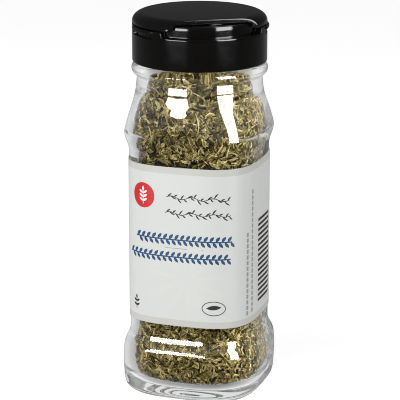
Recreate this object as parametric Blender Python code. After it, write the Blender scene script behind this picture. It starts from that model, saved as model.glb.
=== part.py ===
"""Square-shouldered glass spice jar full of dried thyme leaves, with a wrap-around label
and a screw cap whose top flips open on a rear hinge.

The jar stands on its foot ring at the origin, +Z up, with its front face to -Y. The cap's
pieces are drawn in the cap's own frame, where the flap's straight front edge is at -Y and
its hinge at +Y, and are then turned by CAP_TURN about the jar's axis."""

import math
import random

import bmesh
import bpy
from mathutils import Matrix, Vector, noise

MM = 0.001

# Jar, outside: half-widths are measured from the axis to the middle of a side
JAR_SEGMENTS = 36
FOOT_INNER, FOOT_OUTER = 17.0 * MM, 20.3 * MM
BASE_HALF = 24.3 * MM
PANEL_HALF = 22.3 * MM
SHOULDER_HALF = 23.85 * MM
NECK_RADIUS = 21.5 * MM
BEAD_RADIUS = 23.3 * MM
FINISH_RADIUS = 19.3 * MM
BORE_RADIUS = 17.0 * MM
BEAD_TOP = 115.6 * MM
RIM_HEIGHT = 125.5 * MM
# Exponents of the rounded-square sections, where 2 is a circle
SQUARE = 3.3
CAVITY_SQUARE = 3.0

# Jar, inside
WALL = 1.9 * MM
FLOOR = 3.4 * MM

# Label
LABEL_BOTTOM, LABEL_TOP = 27.4 * MM, 83.3 * MM
LABEL_GAP = 0.1 * MM
LABEL_THICKNESS = 0.2 * MM
LABEL_OPEN_SEGMENTS = 3

# Cap, with heights above its bottom edge
CAP_BOTTOM = 116.1 * MM
CAP_TURN = math.radians(33)
CAP_RADIUS = 23.0 * MM
CAP_BORE = 21.0 * MM
CAP_STEPS = 36
LEDGE_HEIGHT = 10.9 * MM
RIM_TOP = 12.7 * MM
RECESS_ANGLE = 49
SLOT_ANGLES = (59, 91)
SLOT_BOTTOM, SLOT_TOP, SLOT_DEPTH = 9.8 * MM, 11.5 * MM, 1.1 * MM
RIB_TOP, RIB_PROUD = 12.3 * MM, 0.6 * MM
PLATFORM_RADIUS, PLATFORM_TOP, PLATFORM_ROUND = 20.7 * MM, 14.4 * MM, 1.4 * MM
WELL_RADIUS = 15.5 * MM
DECK_BOTTOM, DECK_TOP = 10.5 * MM, 11.8 * MM
HOLE_RADIUS, HOLE_CIRCLE, HOLE_COUNT = 2.6 * MM, 9.0 * MM, 6

# Flap
FLAP_BOTTOM, FLAP_EDGE, FLAP_TOP = 13.0 * MM, 16.3 * MM, 17.0 * MM
FLAP_EDGE_ROUND = 3.2 * MM
FLAP_INNER, FLAP_CEILING = 21.1 * MM, 15.0 * MM
FLAP_FRONT = 17.0 * MM
PLUG_INNER, PLUG_OUTER, PLUG_BOTTOM = 14.1 * MM, 15.05 * MM, 12.2 * MM
PEG_RADIUS, PEG_BOTTOM = 2.1 * MM, 11.1 * MM

# Hinge
HINGE_Y, HINGE_Z = CAP_RADIUS, 13.0 * MM
KNUCKLE_RADIUS, PIN_RADIUS, PIN_HOLE_RADIUS = 1.6 * MM, 0.8 * MM, 1.05 * MM
KNUCKLE_CLEARANCE = 0.3 * MM
BARREL_HALF = 3.9 * MM
EAR_INNER, EAR_OUTER = 4.2 * MM, 6.6 * MM

# Thread
THREAD_PITCH = 4.2 * MM
THREAD_STEPS = 36
NECK_THREAD_CREST, CAP_THREAD_CREST = 20.55 * MM, 19.75 * MM
NECK_THREAD_START = 3.55 * MM
THREAD_SPACING = 1.95 * MM
THREAD_ROOT_HALF, THREAD_CREST_HALF = 0.9 * MM, 0.45 * MM
THREAD_SUNK = 0.5 * MM

# Liner under the deck
LINER_RADIUS, LINER_BOTTOM, LINER_TOP = 18.9 * MM, 9.65 * MM, 10.25 * MM

# Herb fill
FILL_SEED = 11
FILL_BACK = 1.5 * MM
FILL_CLEARANCE = 0.35 * MM
FILL_TOP = 122.0 * MM
FILL_BOTTOM = 5.3 * MM
FILL_SEGMENTS, FILL_LEVELS = 24, 16
FILL_RELIEF, FILL_GRAIN = 0.35 * MM, 4 * MM
LEAF_COUNT, STEM_COUNT, TOP_LEAF_COUNT = 170, 28, 10
LEAF_THICKNESS = 0.7 * MM


def clear_scene():
    for old in list(bpy.data.objects):
        bpy.data.objects.remove(old)


def smooth_through(stations, steps):
    """Points of a Catmull-Rom curve through the stations, steps to each gap."""
    padded = [stations[0], *stations, stations[-1]]
    points = []
    for a, b, c, d in zip(padded, padded[1:], padded[2:], padded[3:]):
        for k in range(steps):
            t = k / steps
            points.append(tuple(
                0.5 * (2 * q + (r - p) * t + (2 * p - 5 * q + 4 * r - s) * t * t
                       + (3 * q - p - 3 * r + s) * t ** 3)
                for p, q, r, s in zip(a, b, c, d)
            ))
    points.append(stations[-1])
    return points


def arc(centre_a, centre_b, radius, start, end, steps):
    """Points on a circular arc, from start to end in degrees."""
    angles = [math.radians(start + (end - start) * k / steps) for k in range(steps + 1)]
    return [(centre_a + radius * math.cos(t), centre_b + radius * math.sin(t)) for t in angles]


def polar_scale(angle, exponent):
    """Radius, in that direction, of a rounded square whose half-width is 1."""
    c, s = abs(math.cos(angle)), abs(math.sin(angle))
    return (c ** exponent + s ** exponent) ** (-1 / exponent)


def section_angle(k, segments):
    return 2 * math.pi * (k + 0.5) / segments - math.pi / 2


def section_ring(height, half_width, exponent, segments):
    ring = []
    for k in range(segments):
        angle = section_angle(k, segments)
        radius = half_width * polar_scale(angle, exponent)
        ring.append((radius * math.cos(angle), radius * math.sin(angle), height))
    return ring


def mesh_object(name, points, faces):
    """A closed mesh from points and faces, with its faces turned outward."""
    mesh = bpy.data.meshes.new(name)
    mesh.from_pydata(points, [], faces)
    shell = bmesh.new()
    shell.from_mesh(mesh)
    bmesh.ops.recalc_face_normals(shell, faces=shell.faces)
    shell.to_mesh(mesh)
    shell.free()
    made = bpy.data.objects.new(name, mesh)
    bpy.context.scene.collection.objects.link(made)
    return made


def loft(name, rings, low_centre, high_centre):
    """Joins equal rings in order and closes both ends with a fan round a centre point."""
    count = len(rings[0])
    points = [point for ring in rings for point in ring]
    faces = []
    for i in range(len(rings) - 1):
        for k in range(count):
            n = (k + 1) % count
            faces.append((i * count + k, i * count + n, (i + 1) * count + n, (i + 1) * count + k))
    low, high = len(points), len(points) + 1
    last = (len(rings) - 1) * count
    points += [low_centre, high_centre]
    for k in range(count):
        n = (k + 1) % count
        faces.append((low, n, k))
        faces.append((high, last + k, last + n))
    return mesh_object(name, points, faces)


def tube(name, points, radius, segments):
    """A straight round rod between two points."""
    start, end = Vector(points[0]), Vector(points[1])
    along = (end - start).normalized()
    side = along.orthogonal().normalized()
    up = along.cross(side)
    rings = []
    for centre in (start, end):
        angles = [2 * math.pi * k / segments for k in range(segments)]
        rings.append([
            tuple(centre + radius * (math.cos(t) * side + math.sin(t) * up)) for t in angles
        ])
    return loft(name, rings, tuple(start), tuple(end))


def box(name, low, high):
    corners = [
        (x, y, z) for z in (low[2], high[2])
        for x, y in ((low[0], low[1]), (high[0], low[1]), (high[0], high[1]), (low[0], high[1]))
    ]
    faces = [(3, 2, 1, 0), (4, 5, 6, 7), (0, 1, 5, 4), (1, 2, 6, 5), (2, 3, 7, 6), (3, 0, 4, 7)]
    return mesh_object(name, corners, faces)


def keep_evaluated(target):
    graph = bpy.context.evaluated_depsgraph_get()
    mesh = bpy.data.meshes.new_from_object(target.evaluated_get(graph))
    target.modifiers.clear()
    target.data = mesh


def combine(target, tool, operation):
    """Cuts or joins one closed shape with another, which is then removed."""
    modifier = target.modifiers.new(operation.title(), "BOOLEAN")
    modifier.operation = operation
    modifier.object = tool
    keep_evaluated(target)
    bpy.data.objects.remove(tool)


def thread(name, root, crest, start):
    """One turn of a right-handed ridge from root to crest radius, ends tapered into the wall."""
    rings = []
    for k in range(THREAD_STEPS + 1):
        angle = 2 * math.pi * k / THREAD_STEPS
        height = start + THREAD_PITCH * k / THREAD_STEPS
        taper = min(1, 4 * min(k, THREAD_STEPS - k) / THREAD_STEPS + 0.15)
        tip = root + (crest - root) * taper
        section = [
            (root, -THREAD_ROOT_HALF), (tip, -THREAD_CREST_HALF),
            (tip, THREAD_CREST_HALF), (root, THREAD_ROOT_HALF),
        ]
        rings.append([
            (r * math.cos(angle), r * math.sin(angle), height + dz) for r, dz in section
        ])
    centres = [tuple(sum((Vector(p) for p in ring), Vector()) / 4) for ring in (rings[0], rings[-1])]
    return loft(name, rings, *centres)


def jar_outside():
    """Stations up the outside of the jar: height, half-width and squareness."""
    heel_and_base = smooth_through([
        (0.0, FOOT_OUTER, 3.1), (0.9 * MM, 22.3 * MM, 3.3), (3.2 * MM, 23.85 * MM, 3.5),
        (9.5 * MM, BASE_HALF, 3.6), (15.6 * MM, 24.2 * MM, 3.6),
        (18.4 * MM, 23.7 * MM, 3.5), (20.4 * MM, 22.8 * MM, 3.4),
        (22.4 * MM, PANEL_HALF, SQUARE),
    ], 2)
    panel_to_shoulder = smooth_through([
        (86.0 * MM, PANEL_HALF, SQUARE), (88.3 * MM, 22.75 * MM, SQUARE),
        (90.6 * MM, 23.6 * MM, SQUARE), (92.4 * MM, SHOULDER_HALF, 3.25),
        (94.2 * MM, 23.64 * MM, 3.15), (97.0 * MM, 23.14 * MM, 2.95), (102.0 * MM, 22.3 * MM, 2.4),
        (105.4 * MM, 21.86 * MM, 2.1), (108.5 * MM, 21.65 * MM, 2.0),
        (110.6 * MM, NECK_RADIUS, 2.0),
    ], 2)
    bead_half = (BEAD_TOP - 111.6 * MM) / 2
    bead = [
        (z, r, 2.0) for r, z in arc(BEAD_RADIUS - bead_half, BEAD_TOP - bead_half, bead_half, -80, 80, 6)
    ]
    lip_round = 1.0 * MM
    lip = [
        (z, r, 2.0)
        for r, z in arc(FINISH_RADIUS - lip_round, RIM_HEIGHT - lip_round, lip_round, 0, 90, 3)
    ]
    underside = [(1.9 * MM, 9.0 * MM, 2.2), (1.0 * MM, 15.0 * MM, 2.7), (0.0, FOOT_INNER, 3.0)]
    finish_foot = [(BEAD_TOP, FINISH_RADIUS, 2.0)]
    return underside + heel_and_base + panel_to_shoulder + bead + finish_foot + lip


def jar_inside():
    """Stations down the inside of the jar: height, half-width and squareness."""
    side = PANEL_HALF - WALL
    mouth = [(RIM_HEIGHT, BORE_RADIUS + 0.5 * MM, 2.0), (RIM_HEIGHT - 0.5 * MM, BORE_RADIUS, 2.0)]
    hollow = smooth_through([
        (111.5 * MM, BORE_RADIUS, 2.0), (107.6 * MM, 18.0 * MM, 2.02), (103.0 * MM, 19.9 * MM, 2.2),
        (97.0 * MM, 21.4 * MM, 2.65), (92.5 * MM, 21.9 * MM, 2.95), (88.6 * MM, 21.0 * MM, CAVITY_SQUARE),
        (85.5 * MM, side, CAVITY_SQUARE),
    ], 2)
    heel = smooth_through([
        (24.0 * MM, side, CAVITY_SQUARE), (20.5 * MM, 20.9 * MM, 3.0), (17.0 * MM, 22.0 * MM, 3.05),
        (11.0 * MM, 22.3 * MM, 3.0), (7.0 * MM, 21.6 * MM, 2.9), (4.4 * MM, 19.0 * MM, 2.7),
        (FLOOR, 13.5 * MM, 2.3),
    ], 2)
    return mouth + hollow + heel


def cavity_at(height):
    """Half-width and squareness of the jar's hollow at a height."""
    stations = jar_inside()[::-1]
    for (z0, w0, n0), (z1, w1, n1) in zip(stations, stations[1:]):
        if z0 <= height <= z1 and z1 > z0:
            t = (height - z0) / (z1 - z0)
            return w0 + (w1 - w0) * t, n0 + (n1 - n0) * t
    return stations[0][1:] if height < stations[0][0] else stations[-1][1:]


def make_jar():
    rings = [section_ring(*station, JAR_SEGMENTS) for station in jar_outside() + jar_inside()]
    jar = loft("glass_jar", rings, (0, 0, 2.1 * MM), (0, 0, FLOOR + 0.3 * MM))
    ridge = thread(
        "neck thread", FINISH_RADIUS - THREAD_SUNK, NECK_THREAD_CREST,
        CAP_BOTTOM + NECK_THREAD_START,
    )
    combine(jar, ridge, "UNION")
    return jar


def make_label():
    """A thin sleeve round the panel, open along a strip of the back."""
    first = JAR_SEGMENTS // 2 + LABEL_OPEN_SEGMENTS
    inner, outer = PANEL_HALF + LABEL_GAP, PANEL_HALF + LABEL_GAP + LABEL_THICKNESS
    columns = []
    for k in range(JAR_SEGMENTS - LABEL_OPEN_SEGMENTS + 1):
        angle = section_angle(first + k, JAR_SEGMENTS)
        scale = polar_scale(angle, SQUARE)
        c, s = math.cos(angle), math.sin(angle)
        columns.append([
            (half * scale * c, half * scale * s, height)
            for half, height in (
                (inner, LABEL_BOTTOM), (outer, LABEL_BOTTOM), (outer, LABEL_TOP), (inner, LABEL_TOP),
            )
        ])
    points = [point for column in columns for point in column]
    faces = [(3, 2, 1, 0)]
    for i in range(len(columns) - 1):
        for k in range(4):
            n = (k + 1) % 4
            faces.append((4 * i + k, 4 * i + n, 4 * i + 4 + n, 4 * i + 4 + k))
    last = 4 * (len(columns) - 1)
    faces.append((last, last + 1, last + 2, last + 3))
    return mesh_object("label_wrap", points, faces)


def rounded_norm(x, y, exponent):
    return (abs(x) ** exponent + abs(y) ** exponent) ** (1 / exponent)


def fill_radius(angle, height):
    """Radius of the fill's crumbled skin in a direction, at a height."""
    half_width, exponent = cavity_at(height)
    radius = (half_width - FILL_BACK) * polar_scale(angle, exponent)
    place = Vector((radius * math.cos(angle), radius * math.sin(angle), height))
    return radius + FILL_RELIEF * noise.noise(place / FILL_GRAIN)


def kept_inside(point, depth):
    """The point moved inward, where needed, to stay depth clear of the jar's hollow."""
    x, y, z = point
    z = min(max(z, FLOOR + 1.0 * MM), FILL_TOP + 2.4 * MM)
    half_width, exponent = cavity_at(z)
    reach = rounded_norm(x, y, exponent)
    shrink = min(1, (half_width - depth) / reach) if reach else 1
    return (x * shrink, y * shrink, z)


def bit(name, centre, along, across, outward, length, width, thickness):
    """A flat leaf bit, or a stem where width equals thickness: a diamond or a bar."""
    if width > thickness:
        outline = [(-length, 0), (0.1 * length, -width), (length, 0), (-0.1 * length, width)]
    else:
        outline = [(-length, -width), (length, -width), (length, width), (-length, width)]
    points = []
    for layer in (-1, 1):
        depth = FILL_CLEARANCE + (thickness if layer < 0 else 0)
        for u, v in outline:
            place = centre + (u * along + v * across) / 2 + layer * thickness / 2 * outward
            points.append(kept_inside(place, depth))
    faces = [(3, 2, 1, 0), (4, 5, 6, 7), (0, 1, 5, 4), (1, 2, 6, 5), (2, 3, 7, 6), (3, 0, 4, 7)]
    return mesh_object(name, points, faces)


def scatter_on_side(draw, number, total, stem):
    """One bit laid on the fill's side, places spread by the golden angle."""
    share = (number + 0.5) / total
    height = FILL_BOTTOM + 1.5 * MM + (FILL_TOP - FILL_BOTTOM - 2 * MM) * share
    angle = 2 * math.pi * (0.618034 * number % 1) + draw.uniform(-0.15, 0.15)
    exponent = cavity_at(height)[1]
    radius = fill_radius(angle, height)
    x, y = radius * math.cos(angle), radius * math.sin(angle)
    slope = [math.copysign(abs(v) ** (exponent - 1), v) for v in (x, y)]
    outward = Vector((*slope, 0)).normalized()
    upward = Vector((0, 0, 1))
    turn, tilt = draw.uniform(0, math.pi), math.radians(draw.uniform(-13, 13))
    flat = math.cos(turn) * upward.cross(outward) + math.sin(turn) * upward
    along = math.cos(tilt) * flat + math.sin(tilt) * outward
    across = outward.cross(along).normalized()
    centre = Vector((x, y, height)) + draw.uniform(-0.25, 0.1) * MM * outward
    if stem:
        length, width, thickness = draw.uniform(8, 12) * MM, 0.9 * MM, 0.9 * MM
    else:
        length, width = draw.uniform(5.5, 8.5) * MM, draw.uniform(1.8, 2.8) * MM
        thickness = LEAF_THICKNESS
    return bit("bit", centre, along, across, along.cross(across), length, width, thickness)


def scatter_on_top(draw, number):
    turn = 2.4 * number
    radius = (BORE_RADIUS - 4 * MM) * math.sqrt((number + 0.5) / TOP_LEAF_COUNT)
    centre = Vector((radius * math.cos(turn), radius * math.sin(turn), FILL_TOP + 0.9 * MM))
    heading = draw.uniform(0, 2 * math.pi)
    tilt = math.radians(draw.uniform(-12, 12))
    along = Vector((
        math.cos(tilt) * math.cos(heading), math.cos(tilt) * math.sin(heading), math.sin(tilt),
    ))
    across = Vector((0, 0, 1)).cross(along).normalized()
    return bit("bit", centre, along, across, along.cross(across), 7 * MM, 2.4 * MM, LEAF_THICKNESS)


def fill_core():
    """The fill's own bulk, a little smaller than the hollow, with a crumbled skin."""
    rings = []
    for level in range(FILL_LEVELS + 1):
        height = FILL_BOTTOM + (FILL_TOP - FILL_BOTTOM) * level / FILL_LEVELS
        ring = []
        for k in range(FILL_SEGMENTS):
            angle = section_angle(k, FILL_SEGMENTS)
            radius = fill_radius(angle, height)
            ring.append((radius * math.cos(angle), radius * math.sin(angle), height))
        rings.append(ring)
    return loft("dried_thyme", rings, (0, 0, FILL_BOTTOM), (0, 0, FILL_TOP + 1.2 * MM))


def keep_outer_shell(piece):
    """Fills the hollows that fusing sealed, by keeping only the largest connected shell."""
    shell = bmesh.new()
    shell.from_mesh(piece.data)
    waiting = set(shell.verts)
    largest = set()
    while waiting:
        found, front = set(), [waiting.pop()]
        while front:
            here = front.pop()
            found.add(here)
            near = {link.other_vert(here) for link in here.link_edges} & waiting
            waiting -= near
            front += near
        largest = max(largest, found, key=len)
    spare = [vert for vert in shell.verts if vert not in largest]
    bmesh.ops.delete(shell, geom=spare, context="VERTS")
    shell.to_mesh(piece.data)
    shell.free()


def make_thyme():
    core = fill_core()
    draw = random.Random(FILL_SEED)
    bits = [scatter_on_side(draw, k, LEAF_COUNT, False) for k in range(LEAF_COUNT)]
    bits += [scatter_on_side(draw, k, STEM_COUNT, True) for k in range(STEM_COUNT)]
    bits += [scatter_on_top(draw, k) for k in range(TOP_LEAF_COUNT)]
    heap = bpy.data.collections.new("bits")
    bpy.context.scene.collection.children.link(heap)
    for piece in bits:
        bpy.context.scene.collection.objects.unlink(piece)
        heap.objects.link(piece)
    modifier = core.modifiers.new("Union", "BOOLEAN")
    modifier.operation = "UNION"
    modifier.operand_type = "COLLECTION"
    modifier.collection = heap
    modifier.solver = "MANIFOLD"
    keep_evaluated(core)
    keep_outer_shell(core)
    for piece in bits:
        bpy.data.objects.remove(piece)
    bpy.data.collections.remove(heap)
    return core


def cap_angles():
    """Degrees round the cap from its front, with a close pair at each feature's edge."""
    edge = 0.5
    marks = [RECESS_ANGLE, *SLOT_ANGLES]
    marks += [360 - mark for mark in marks]
    angles = {mark + side for mark in marks for side in (-edge, edge)}
    step = 360 / CAP_STEPS
    for k in range(CAP_STEPS):
        angle = step * k
        if min(abs(angle - mark) for mark in marks) > 0.3 * step:
            angles.add(angle)
    return sorted(angles)


def cap_profile(angle):
    """The cap body's outline at an angle from its front, as radius and height."""
    turned = min(angle, 360 - angle)
    top = LEDGE_HEIGHT if turned < RECESS_ANGLE else RIM_TOP
    slotted = SLOT_ANGLES[0] < turned < SLOT_ANGLES[1]
    depth, proud = (SLOT_DEPTH, RIB_PROUD) if slotted else (0, 0)
    squeeze = (top - SLOT_BOTTOM) / (RIM_TOP - SLOT_BOTTOM)

    def height(value):
        return SLOT_BOTTOM + (value - SLOT_BOTTOM) * squeeze

    edge = 0.3 * MM
    outside = [
        (CAP_BORE, 0.5 * MM), (CAP_BORE + edge, 0), (CAP_RADIUS - edge, 0),
        (CAP_RADIUS + 0.1 * MM, edge), (CAP_RADIUS, 1.6 * MM), (CAP_RADIUS, SLOT_BOTTOM),
        (CAP_RADIUS - depth, height(SLOT_BOTTOM + 0.1 * MM)),
        (CAP_RADIUS - depth, height(SLOT_TOP - 0.1 * MM)),
        (CAP_RADIUS + proud, height(SLOT_TOP)), (CAP_RADIUS + proud, height(RIB_TOP)),
        (CAP_RADIUS - 0.1 * MM, top - 0.1 * MM), (CAP_RADIUS - 0.4 * MM, top),
        (PLATFORM_RADIUS, top),
    ]
    platform = arc(
        PLATFORM_RADIUS - PLATFORM_ROUND, PLATFORM_TOP - PLATFORM_ROUND, PLATFORM_ROUND, 0, 90, 4
    )
    well = [(WELL_RADIUS, PLATFORM_TOP), (WELL_RADIUS, DECK_TOP)]
    inside = [
        (19.6 * MM, DECK_BOTTOM), (20.0 * MM, 9.7 * MM), (CAP_BORE, 8.6 * MM),
    ]
    return outside + platform + well, inside


def turned_cap_body():
    """The cap body's turned shape, as strips from the deck's top round to its underside."""
    columns = []
    for angle in cap_angles():
        outer, inner = cap_profile(angle)
        direction = math.radians(angle - 90)
        column = [
            (r * math.cos(direction), r * math.sin(direction), z)
            for r, z in (inner + outer)
        ]
        columns.append(column)
    rings = [list(ring) for ring in zip(*columns)]
    return loft("cap_body", rings, (0, 0, DECK_BOTTOM), (0, 0, DECK_TOP))


def add_hinge_ears(body):
    for side in (-1, 1):
        ear = tube(
            "ear", [(side * EAR_INNER, HINGE_Y, HINGE_Z), (side * EAR_OUTER, HINGE_Y, HINGE_Z)],
            KNUCKLE_RADIUS, 16,
        )
        combine(body, ear, "UNION")
    notch = tube(
        "notch", [(-EAR_INNER, HINGE_Y, HINGE_Z), (EAR_INNER, HINGE_Y, HINGE_Z)],
        KNUCKLE_RADIUS + KNUCKLE_CLEARANCE, 16,
    )
    combine(body, notch, "DIFFERENCE")
    reach = EAR_OUTER + 1 * MM
    pin_hole = tube(
        "pin hole", [(-reach, HINGE_Y, HINGE_Z), (reach, HINGE_Y, HINGE_Z)], PIN_HOLE_RADIUS, 12,
    )
    combine(body, pin_hole, "DIFFERENCE")


def hole_centres():
    centres = [(0, 0)]
    for k in range(HOLE_COUNT):
        angle = 2 * math.pi * k / HOLE_COUNT
        centres.append((HOLE_CIRCLE * math.cos(angle), HOLE_CIRCLE * math.sin(angle)))
    return centres


def make_cap_body():
    body = turned_cap_body()
    ridge = thread(
        "cap thread", CAP_BORE + THREAD_SUNK, CAP_THREAD_CREST,
        NECK_THREAD_START - THREAD_SPACING,
    )
    ridge.rotation_euler.z = -CAP_TURN
    bpy.context.view_layer.update()
    combine(body, ridge, "UNION")
    for x, y in hole_centres():
        hole = tube("hole", [(x, y, DECK_BOTTOM - MM), (x, y, DECK_TOP + MM)], HOLE_RADIUS, 12)
        combine(body, hole, "DIFFERENCE")
    add_hinge_ears(body)
    body.location.z = CAP_BOTTOM
    body.rotation_euler.z = CAP_TURN
    return body


def dome_profile():
    """The flap's outline from the ceiling's middle round its edge to the top's middle."""
    top_radius = CAP_RADIUS - FLAP_EDGE_ROUND
    ceiling = [(FLAP_INNER - 0.7 * MM, FLAP_CEILING), (FLAP_INNER, FLAP_CEILING - 0.7 * MM)]
    wall = [(FLAP_INNER, FLAP_BOTTOM), (CAP_RADIUS, FLAP_BOTTOM)]
    edge = arc(top_radius, FLAP_EDGE - FLAP_EDGE_ROUND, FLAP_EDGE_ROUND, 0, 85, 5)
    crown = [
        (top_radius * share, FLAP_TOP - (FLAP_TOP - FLAP_EDGE) * share ** 2) for share in (0.75, 0.4)
    ]
    return ceiling + wall + edge + crown


def turned(name, profile, low_height, high_height):
    """A solid turned from a profile that starts and ends on the axis."""
    rings = []
    for radius, height in profile:
        angles = [2 * math.pi * k / CAP_STEPS - math.pi / 2 for k in range(CAP_STEPS)]
        rings.append([(radius * math.cos(t), radius * math.sin(t), height) for t in angles])
    return loft(name, rings, (0, 0, low_height), (0, 0, high_height))


def make_flap():
    flap = turned("cap_flap", dome_profile(), FLAP_CEILING, FLAP_TOP)
    root, sunk = FLAP_CEILING + 0.2 * MM, FLAP_CEILING + 0.5 * MM
    plug_profile = [
        (PLUG_INNER, root), (PLUG_INNER, PLUG_BOTTOM), (PLUG_OUTER, PLUG_BOTTOM), (PLUG_OUTER, sunk),
    ]
    combine(flap, turned("plug", plug_profile, root, sunk), "UNION")
    for x, y in hole_centres():
        peg = tube("peg", [(x, y, PEG_BOTTOM), (x, y, sunk)], PEG_RADIUS, 10)
        combine(flap, peg, "UNION")
    front = box(
        "front cut", (-2 * CAP_RADIUS, -2 * CAP_RADIUS, FLAP_BOTTOM - 5 * MM),
        (2 * CAP_RADIUS, -FLAP_FRONT, FLAP_TOP + 5 * MM),
    )
    combine(flap, front, "DIFFERENCE")
    for side in (-1, 1):
        ends = [side * (BARREL_HALF + 0.1 * MM), side * (EAR_OUTER + KNUCKLE_CLEARANCE)]
        notch = tube(
            "ear notch", [(x, HINGE_Y, HINGE_Z) for x in ends],
            KNUCKLE_RADIUS + KNUCKLE_CLEARANCE, 16,
        )
        combine(flap, notch, "DIFFERENCE")
    for half, radius, sides in (
        (BARREL_HALF, KNUCKLE_RADIUS, 16), (EAR_OUTER - KNUCKLE_CLEARANCE, PIN_RADIUS, 10),
    ):
        rod = tube("rod", [(-half, HINGE_Y, HINGE_Z), (half, HINGE_Y, HINGE_Z)], radius, sides)
        combine(flap, rod, "UNION")
    axis_place = Vector((0, HINGE_Y, HINGE_Z))
    flap.data.transform(Matrix.Translation(-axis_place))
    flap.location = Matrix.Rotation(CAP_TURN, 3, "Z") @ axis_place + Vector((0, 0, CAP_BOTTOM))
    flap.rotation_euler.z = CAP_TURN
    return flap


def make_liner():
    liner = turned(
        "seal_liner", [(LINER_RADIUS, LINER_BOTTOM), (LINER_RADIUS, LINER_TOP)],
        LINER_BOTTOM, LINER_TOP,
    )
    liner.location.z = CAP_BOTTOM
    return liner


def finish(piece, colour, roughness, transmission=0.0, sharp=30):
    """Gives a piece its material and smooth shading."""
    material = bpy.data.materials.new(piece.name)
    material.use_nodes = True
    surface = material.node_tree.nodes["Principled BSDF"]
    surface.inputs["Base Color"].default_value = (*colour, 1)
    surface.inputs["Roughness"].default_value = roughness
    surface.inputs["Metallic"].default_value = 0.0
    surface.inputs["Transmission Weight"].default_value = transmission
    piece.data.materials.clear()
    piece.data.materials.append(material)
    piece.data.shade_smooth()
    piece.data.set_sharp_from_angle(angle=math.radians(sharp))


def main():
    clear_scene()
    finish(make_jar(), (0.93, 0.95, 0.95), 0.03, transmission=1.0)
    finish(make_label(), (0.78, 0.80, 0.81), 0.45)
    finish(make_thyme(), (0.20, 0.18, 0.065), 0.9, sharp=15)
    finish(make_liner(), (0.75, 0.74, 0.70), 0.8)
    finish(make_cap_body(), (0.012, 0.012, 0.012), 0.25)
    finish(make_flap(), (0.014, 0.014, 0.014), 0.28)


main()
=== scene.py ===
"""Finished look of a rounded-square glass spice jar, full of dried thyme leaves, with a
wrap-around label and a black screw cap whose top flips open.

Shapes are numpy surfaces in the jar's frame: foot ring on z = 0, +Z up, label front to -Y.
The cap's pieces are drawn in the cap's own frame, front to -Y and hinge to +Y, and are then
turned by CAP_TURN about the jar's axis and raised by CAP_BOTTOM."""

import math

import bmesh
import bpy
import numpy as np
from bpy.props import FloatProperty, FloatVectorProperty, IntProperty, PointerProperty
from bpy.types import Operator, Panel, PropertyGroup
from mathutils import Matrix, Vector, geometry


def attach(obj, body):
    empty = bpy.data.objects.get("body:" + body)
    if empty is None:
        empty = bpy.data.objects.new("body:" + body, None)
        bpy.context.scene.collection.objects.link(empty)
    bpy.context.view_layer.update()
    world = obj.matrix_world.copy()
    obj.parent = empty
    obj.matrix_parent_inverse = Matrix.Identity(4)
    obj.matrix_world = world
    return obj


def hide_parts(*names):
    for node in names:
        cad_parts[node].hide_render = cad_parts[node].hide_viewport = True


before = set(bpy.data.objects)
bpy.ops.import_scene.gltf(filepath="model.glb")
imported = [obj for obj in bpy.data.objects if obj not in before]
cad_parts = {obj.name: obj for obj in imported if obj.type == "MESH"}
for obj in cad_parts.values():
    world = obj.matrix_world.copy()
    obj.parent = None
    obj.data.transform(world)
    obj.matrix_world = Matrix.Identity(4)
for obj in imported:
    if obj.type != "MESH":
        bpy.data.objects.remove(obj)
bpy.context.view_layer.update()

bl_info = {
    "name": "Spice jar of dried thyme",
    "version": (1, 0, 0),
    "blender": (4, 5, 0),
    "location": "View3D > Sidebar > Spice jar",
    "description": "Glass jar, herb fill, label and flip-top cap, with a small studio",
    "category": "Object",
}

MM = 0.001
TURN = 2 * math.pi
FRONT = -math.pi / 2

# Outside of the jar: height, half-width and squareness, where a squareness of 2 is a circle
UNDERSIDE = [(2.1, 0.0, 2.1), (1.9, 9.0, 2.2), (1.0, 15.0, 2.7), (0.0, 17.0, 3.0)]
HEEL_AND_BASE = [
    (0.0, 20.3, 3.1), (0.9, 22.3, 3.3), (3.2, 23.85, 3.5), (9.5, 24.28, 3.6), (15.6, 24.2, 3.6),
    (18.4, 23.7, 3.5), (20.4, 22.8, 3.4), (22.4, 22.3, 3.3),
]
PANEL_TO_LIP = [(86.0, 22.3, 3.3), (88.3, 22.75, 3.3), (90.8, 23.6, 3.3), (92.7, 23.94, 3.22)]
LIP_TO_NECK = [
    (92.72, 23.94, 3.22), (94.3, 23.63, 3.15), (97.0, 23.14, 2.95), (100.0, 22.6, 2.65),
    (102.0, 22.3, 2.4), (104.0, 22.03, 2.2), (106.5, 21.76, 2.05), (107.6, 21.72, 2.0),
    (108.4, 21.66, 2.0), (110.0, 21.5, 2.0), (111.1, 21.3, 2.0),
]
BEAD_RADIUS, BEAD_ROUND, BEAD_TOP = 23.3, 2.0, 115.6
FINISH_RADIUS, RIM_HEIGHT, LIP_ROUND = 19.3, 125.5, 1.0
# Inside of the jar, from the mouth down
MOUTH = [(125.5, 17.5, 2.0), (125.0, 17.0, 2.0)]
HOLLOW = [
    (111.5, 17.0, 2.0), (107.6, 18.0, 2.02), (103.0, 19.9, 2.2), (97.0, 21.4, 2.65),
    (92.6, 21.95, 2.95),
]
BELOW_LIP = [(92.57, 21.95, 2.95), (88.6, 21.0, 3.0), (85.5, 20.4, 3.0)]
INNER_HEEL = [
    (24.0, 20.4, 3.0), (20.5, 20.9, 3.0), (17.0, 22.0, 3.05), (11.0, 22.3, 3.0), (7.0, 21.6, 2.9),
    (4.4, 19.0, 2.7), (3.4, 13.5, 2.3),
]
FLOOR_CENTRE = (3.7, 0.0, 2.0)

# Neck thread: its middle at the start, its climb in a turn, how far it stands out and half its foot
THREAD_START, THREAD_PITCH, THREAD_CREST, THREAD_FOOT = 119.65, 4.2, 1.25, 0.9

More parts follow.
